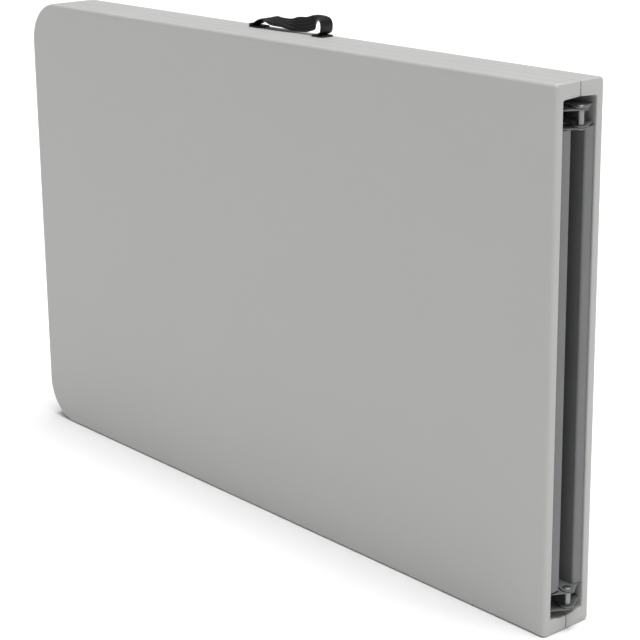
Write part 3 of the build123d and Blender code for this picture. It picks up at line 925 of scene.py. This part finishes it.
def grip_band(handle):
    """Handle strap: wide and thin at its ends, thicker and ribbed in the hand.

    Its section is carried along the route. Across the section t runs once round: the half width times
    cos t to the power 0.55 and the half thickness times sin t to the power 0.5, signs kept, with grooves
    of a raised cosine on the grip. The lean turns the section about the route, and the width narrows to
    four fifths over the last 3 mm of each end.
    """
    low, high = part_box("handle_strap")
    y = (low.y + high.y) / 2
    rest = low.z + 1.4 * MM
    corners = np.array(STRAP_ROUTE) * MM + np.array([0, rest])
    bends = np.array(STRAP_BENDS) * MM
    bent = rounded(corners, bends, closed=False)
    walked = np.concatenate([[0], np.cumsum(np.linalg.norm(np.diff(bent, axis=0), axis=1))])
    stations = np.linspace(0, walked[-1], 150)
    path = np.column_stack([np.interp(stations, walked, bent[:, i]) for i in (0, 1)])
    for _ in range(6):
        path[1:-1] = (path[:-2] + 2 * path[1:-1] + path[2:]) / 4
    along = np.gradient(path, axis=0)
    along /= np.linalg.norm(along, axis=1, keepdims=True)
    normal = np.column_stack([along[:, 1], -along[:, 0]])
    reach = path[:, 0]
    grip = smooth_step(reach, -52 * MM, -32 * MM) * (1 - smooth_step(reach, 50 * MM, 72 * MM))
    lean = smooth_step(reach, -55 * MM, -35 * MM) * 0.28 + smooth_step(reach, -12 * MM, 30 * MM) * 0.72
    lean = handle.twist * lean * smooth_step(stations, 36 * MM, 60 * MM)
    width = STRAP_WIDTH + (handle.grip_width - STRAP_WIDTH) * grip
    thickness = STRAP_THICKNESS + (handle.grip_thickness - STRAP_THICKNESS) * grip
    ends = np.minimum(stations, walked[-1] - stations) / (3 * MM)
    width *= 0.8 + 0.2 * np.sqrt(np.clip(1 - (1 - np.minimum(ends, 1)) ** 2, 0, 1))
    angle = np.linspace(0, 2 * math.pi, 96, endpoint=False)
    across = np.sign(np.cos(angle)) * np.abs(np.cos(angle)) ** 0.55
    raised = np.sign(np.sin(angle)) * np.abs(np.sin(angle)) ** 0.5
    groove = 0.5 - 0.5 * np.cos(2 * math.pi * handle.ribs * (across + 1) / 2)
    groove = (1 - groove) * np.abs(raised) ** 4 * (np.abs(across) < 0.9)
    lift = thickness[:, None] / 2 * raised - (handle.rib_depth * grip)[:, None] * groove * np.sign(raised)
    side = width[:, None] / 2 * across
    cosine, sine = np.cos(lean)[:, None], np.sin(lean)[:, None]
    rise = lift * cosine + side * sine
    rings = np.stack([
        path[:, :1] + normal[:, :1] * rise,
        y + side * cosine - lift * sine,
        path[:, 1:] + normal[:, 1:] * rise,
    ], axis=-1)
    return solid(rings)


def smooth_step(value, start, end):
    """0 before the start, 1 after the end, and smooth between them."""
    share = np.clip((value - start) / (end - start), 0, 1)
    return share * share * (3 - 2 * share)


# ---------------------------------------------------------------- operators


def settings_of(context):
    """The table's settings in the scene."""
    return context.scene.folding_table


class FOLDINGTABLE_OT_tops(bpy.types.Operator):
    """Two blow-moulded halves with rounded edges, deep rims and a pitted underside"""

    bl_idname = "object.folding_table_tops"
    bl_label = "Moulded Tops"

    def execute(self, context):
        pair(moulded_half(settings_of(context).top), "a_top", "moulded_plastic", 40.0)
        return {"FINISHED"}


class FOLDINGTABLE_OT_rails(bpy.types.Operator):
    """Folded steel channels along both long edges and across the fold"""

    bl_idname = "object.folding_table_rails"
    bl_label = "Steel Rails"

    def execute(self, context):
        steel = settings_of(context).steel
        pair(side_rail(RAIL_LOW.z, steel), "a_side_rail_low", "gray_steel")
        pair(side_rail(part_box("a_side_rail_high")[0].z, steel), "a_side_rail_high", "gray_steel")
        pair(cross_rail(steel), "a_cross_rail", "gray_steel")
        return {"FINISHED"}


class FOLDINGTABLE_OT_hinges(bpy.types.Operator):
    """Hinge pins with domed heads, and the sleeves between the ears"""

    bl_idname = "object.folding_table_hinges"
    bl_label = "Hinge Pins"

    def execute(self, context):
        for end in OTHER_END:
            node = f"hinge_pin_{end}"
            low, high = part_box(node)
            shape = headed_pin(FOLD_X, 0, low.z + 2 * MM, high.z - 2 * MM, PIN_RADIUS, 6.5 * MM, 2 * MM)
            piece(f"{node}_look", shape, body_of(node), "zinc_steel", [node])
            node = f"hinge_spacer_{end}"
            low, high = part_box(node)
            shape = eye(4.5 * MM, PIN_BORE, (FOLD_X, 0, 0), low.z, high.z)
            piece(f"{node}_look", shape, body_of(node), "zinc_steel", [node])
        return {"FINISHED"}


class FOLDINGTABLE_OT_legs(bpy.types.Operator):
    """Welded leg frames with their plastic foot caps"""

    bl_idname = "object.folding_table_legs"
    bl_label = "Leg Frames"

    def execute(self, context):
        steel = settings_of(context).steel
        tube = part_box("a_pivot_tube")
        profile = tube_profile(PIVOT_RADIUS, PIVOT_RADIUS - SHEET, tube[0].z, tube[1].z, 0.4 * MM)
        shape = lathe(profile, (LEG_PIVOT.x, LEG_PIVOT.y, 0), count=48, closed=True)
        pair(shape, "a_pivot_tube", "gray_steel")
        legs = [centre(f"a_leg_tube_{end}").z for end in OTHER_END]
        for end, leg_z in zip(OTHER_END, legs):
            node = f"a_leg_tube_{end}"
            pair(leg_tube(leg_z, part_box(node)[1].x, steel), node, "gray_steel")
        for node in ("a_brace_bar", "a_stretcher"):
            middle = centre(node)
            pair(crossbar(middle.x, middle.y, legs[0], legs[1], steel), node, "gray_steel")
        low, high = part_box("a_foot_caps")
        pair(together([foot_cap(z, low.x, high.x) for z in legs]), "a_foot_caps", "black_plastic")
        return {"FINISHED"}


class FOLDINGTABLE_OT_braces(bpy.types.Operator):
    """Folding braces with their rivets, brackets and pins"""

    bl_idname = "object.folding_table_braces"
    bl_label = "Braces"

    def execute(self, context):
        pin = centre("a_brace_pin")
        low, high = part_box("a_upper_link")
        knee_x = low.x + 5 * MM
        low_z, high_z = high.z - LINK, high.z
        upper = [
            flat_link((pin.x - 4.2 * MM, pin.y), (knee_x, pin.y), low_z, high_z),
            eye(5 * MM, PIN_BORE, (pin.x, pin.y, 0), low_z - BOSS, high_z + BOSS),
            knee_eye(knee_x, pin.y, low_z, high_z),
            rivet(knee_x, pin.y, low_z, -1.5 * MM, 4 * MM),
        ]
        pair(together(upper), "a_upper_link", "gray_steel")
        bar = centre("a_brace_bar")
        low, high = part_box("a_lower_link")
        low_z = low.z
        high_z = low_z + LINK
        toward_knee = np.array([knee_x - bar.x, pin.y - bar.y])
        start = np.array([bar.x, bar.y]) + toward_knee / np.linalg.norm(toward_knee) * 8 * MM
        sleeve = tube_profile(9.3 * MM, BAR_RADIUS + BOSS, low_z - BOSS, high.z, 0.6 * MM)
        lower = [
            flat_link(start, (knee_x, pin.y), low_z, high_z),
            lathe(sleeve, (bar.x, bar.y, 0), count=40, closed=True),
            knee_eye(knee_x, pin.y, low_z, high_z),
            rivet(knee_x, pin.y, high_z, 1.5 * MM, 4 * MM),
        ]
        pair(together(lower), "a_lower_link", "gray_steel")
        low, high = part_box("a_brace_pin")
        shape = headed_pin(pin.x, pin.y, low.z + 1.5 * MM, high.z - 1.5 * MM, PIN_RADIUS, 5 * MM, 1.5 * MM)
        pair(shape, "a_brace_pin", "zinc_steel")
        base_low, base_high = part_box("a_brace_bracket")
        ears = []
        ear_radius = 6.5 * MM
        left, right, foot_y = pin.x - ear_radius, pin.x + ear_radius, UNDERSIDE_Y + 0.2 * MM
        cradle = arc((pin.x, pin.y), 3.6 * MM, 0, -180, 12)
        web = np.vstack([[(left, foot_y), (right, foot_y), (right, pin.y)], cradle, [(left, pin.y)]])
        for ear_low in (low.z + 1.5 * MM, high.z - 3.5 * MM):
            ears.append(slab(web, ear_low + BOSS, ear_low + 1.95 * MM, 0.15 * MM))
            ears.append(eye(ear_radius, 3 * MM, (pin.x, pin.y, 0), ear_low, ear_low + 2 * MM, 0.3 * MM))
        base = foot_plate(
            (base_low.z, base_low.x), (base_high.z, base_high.x),
            UNDERSIDE_Y, UNDERSIDE_Y + MM, 4 * MM, 0.25 * MM, "zxy",
        )
        pair(together([base] + ears), "a_brace_bracket", "gray_steel")
        return {"FINISHED"}


class FOLDINGTABLE_OT_brackets(bpy.types.Operator):
    """Leg brackets and the clips that hold the folded legs"""

    bl_idname = "object.folding_table_brackets"
    bl_label = "Brackets and Clips"

    def execute(self, context):
        for end in OTHER_END:
            node = f"a_leg_bracket_{end}"
            pair(leg_bracket(node), node, "gray_steel")
        low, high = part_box("a_leg_clips")
        clips = []
        for end in OTHER_END:
            leg_z = centre(f"a_leg_tube_{end}").z
            inner = LEG_RADIUS + 0.6 * MM
            wall = 2 * MM
            left, right = leg_z - inner - wall, leg_z + inner + wall
            base_y, base_top, top_y = low.y, low.y + wall, high.y
            tab = left - 12 * MM
            corners = [
                (tab, base_y), (right, base_y), (right, top_y), (right - wall, top_y),
                (right - wall, base_top), (left + wall, base_top), (left + wall, top_y),
                (left, top_y), (left, base_top), (tab, base_top),
            ]
            radii = np.array([0.4, 3, 0.9, 0.9, 1.5, 1.5, 0.9, 0.9, 1.5, 0.4]) * MM
            clips.append(slab(rounded(corners, radii), low.x, high.x, 0.5 * MM, "zyx"))
        pair(together(clips), "a_leg_clips", "black_plastic")
        return {"FINISHED"}


class FOLDINGTABLE_OT_screws(bpy.types.Operator):
    """Cross-recess screws under both halves"""

    bl_idname = "object.folding_table_screws"
    bl_label = "Screws"

    def execute(self, context):
        rails = [centre(f"a_side_rail_{end}").z for end in OTHER_END]
        seat = UNDERSIDE_Y + SHEET
        along_rails = (-540, -300, -60, 180, 420)
        along_cross_rail = (150, 381, 612)
        across_brackets = (73, 686.6)
        across_brace = (347.6, 368.4)
        cross_x = 588.5 * MM
        clip_x = 104.5 * MM
        clip_z = 20.6 * MM
        places = [(x * MM, z, seat) for x in along_rails for z in rails]
        places += [(cross_x, z * MM, seat) for z in along_cross_rail]
        seat = UNDERSIDE_Y + 2 * MM
        places += [(LEG_PIVOT.x + x * MM, z * MM, seat) for x in (-20, 20) for z in across_brackets]
        places += [(clip_x, centre(f"a_leg_tube_{end}").z - clip_z, seat) for end in OTHER_END]
        places += [(centre("a_brace_pin").x, z * MM, UNDERSIDE_Y + MM) for z in across_brace]
        pair(screws_at(places, SCREW_RADIUS, SCREW_HEIGHT, "xzy"), "a_screws", "zinc_steel")
        return {"FINISHED"}


class FOLDINGTABLE_OT_handle(bpy.types.Operator):
    """Black carry handle: ribbed strap, feet and screws"""

    bl_idname = "object.folding_table_handle"
    bl_label = "Carry Handle"

    def execute(self, context):
        handle = settings_of(context).handle
        low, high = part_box("handle_feet")
        feet = []
        for x in (low.x, high.x - HANDLE_FOOT):
            ends = (x, low.y), (x + HANDLE_FOOT, high.y)
            feet.append(foot_plate(*ends, low.z, high.z, 5 * MM, 0.9 * MM, "xyz"))
        screw_low, screw_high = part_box("handle_screws")
        y = (screw_low.y + screw_high.y) / 2
        places = [(x, y, high.z) for x in (screw_low.x + SCREW_RADIUS, screw_high.x - SCREW_RADIUS)]
        shapes = (
            ("handle_strap", grip_band(handle), "strap"),
            ("handle_feet", together(feet), "black_plastic"),
            ("handle_screws", screws_at(places, SCREW_RADIUS, SCREW_HEIGHT, "xyz"), "zinc_steel"),
        )
        for node, shape, slot in shapes:
            piece(f"{node}_look", shape, body_of(node), slot, [node])
        return {"FINISHED"}


class FOLDINGTABLE_OT_stage(bpy.types.Operator):
    """Floor, soft studio light and camera"""

    bl_idname = "object.folding_table_stage"
    bl_label = "Stage"

    def execute(self, context):
        stage = settings_of(context).stage
        scene = context.scene
        scene.view_settings.view_transform = "Standard"

        floor_mesh = bpy.data.meshes.new("floor")
        reach = 30.0
        corners = [(-reach, -reach, 0), (reach, -reach, 0), (reach, reach, 0), (-reach, reach, 0)]
        floor_mesh.from_pydata(corners, [], [(0, 1, 2, 3)])
        floor = bpy.data.objects.new("floor", floor_mesh)
        scene.collection.objects.link(floor)
        paint = Finish("pale_floor", {"Roughness": 0.9, "Specular IOR Level": 0.1})
        cloud = paint.noise(0.8, 2.0)
        paint.colour(cloud, shaded(stage.floor, 0.99), shaded(stage.floor, 1.01))
        paint.feed("Roughness", 0.85 + cloud * 0.1)
        floor_mesh.materials.append(paint.material)

        lights = (
            ("overhead", stage.overhead, stage.softness, (0.1, 0.0, 1.0)),
            ("side", stage.side, stage.side_softness, (1.0, 0.2, 0.22)),
        )
        for name, strength, width, source in lights:
            lamp = bpy.data.lights.new(name, "SUN")
            lamp.energy = strength
            lamp.angle = width
            lamp_object = bpy.data.objects.new(name, lamp)
            lamp_object.rotation_mode = "QUATERNION"
            lamp_object.rotation_quaternion = (-Vector(source)).to_track_quat("-Z", "Y")
            scene.collection.objects.link(lamp_object)

        world = bpy.data.worlds.new("studio")
        world.use_nodes = True
        scene.world = world
        sky = world.node_tree
        height = new_node(
            sky, "ShaderNodeSeparateXYZ",
            inputs={0: new_node(sky, "ShaderNodeTexCoord").outputs["Generated"]},
        ).outputs["Z"]
        glow = {"Value": height, "To Min": stage.horizon, "To Max": stage.surround}
        glow = new_node(sky, "ShaderNodeMapRange", inputs=glow).outputs["Result"]
        camera_ray = new_node(sky, "ShaderNodeLightPath").outputs["Is Camera Ray"]
        seen = {"Value": camera_ray, "To Min": glow, "To Max": stage.backdrop}
        seen = new_node(sky, "ShaderNodeMapRange", inputs=seen).outputs["Result"]
        background = sky.nodes["Background"]
        background.inputs["Color"].default_value = (1, 1, 1, 1)
        sky.links.new(seen, background.inputs["Strength"])

        camera = bpy.data.cameras.new("camera")
        camera.lens = stage.lens
        camera.sensor_width = 36
        camera.shift_y = stage.shift
        camera_object = bpy.data.objects.new("camera", camera)
        view = Vector(stage.aim) - Vector(stage.position)
        turn = view.to_track_quat("-Z", "Y").to_matrix() @ Matrix.Rotation(-stage.roll, 3, "Z")
        camera_object.matrix_world = Matrix.Translation(Vector(stage.position)) @ turn.to_4x4()
        scene.collection.objects.link(camera_object)
        scene.camera = camera_object
        return {"FINISHED"}


class FOLDINGTABLE_PT_looks(bpy.types.Panel):
    """Lists the operators and settings"""

    bl_idname = "FOLDINGTABLE_PT_looks"
    bl_label = "Folding Table"
    bl_space_type = "VIEW_3D"
    bl_region_type = "UI"
    bl_category = "Folding Table"

    def draw(self, context):
        for operator in OPERATORS:
            self.layout.operator(operator.bl_idname)
        table = settings_of(context)
        for group in (table.top, table.steel, table.handle, table.colours, table.stage):
            box = self.layout.box()
            for name in group.bl_rna.properties.keys():
                if name not in ("rna_type", "name"):
                    box.prop(group, name)


OPERATORS = (
    FOLDINGTABLE_OT_tops,
    FOLDINGTABLE_OT_rails,
    FOLDINGTABLE_OT_hinges,
    FOLDINGTABLE_OT_legs,
    FOLDINGTABLE_OT_braces,
    FOLDINGTABLE_OT_brackets,
    FOLDINGTABLE_OT_screws,
    FOLDINGTABLE_OT_handle,
    FOLDINGTABLE_OT_stage,
)
SETTINGS = (TopShape, SteelShape, HandleShape, Colours, StageSettings, TableSettings)


def register():
    """Adds the settings, operators and panel."""
    for kind in (*SETTINGS, *OPERATORS, FOLDINGTABLE_PT_looks):
        bpy.utils.register_class(kind)
    bpy.types.Scene.folding_table = PointerProperty(type=TableSettings)


def unregister():
    """Takes the settings, operators and panel away."""
    del bpy.types.Scene.folding_table
    for kind in (FOLDINGTABLE_PT_looks, *reversed(OPERATORS), *reversed(SETTINGS)):
        bpy.utils.unregister_class(kind)


def main():
    """Builds everything in order."""
    register()
    for operator in OPERATORS:
        module, name = operator.bl_idname.split(".")
        getattr(getattr(bpy.ops, module), name)()


if __name__ == "__main__":
    main()
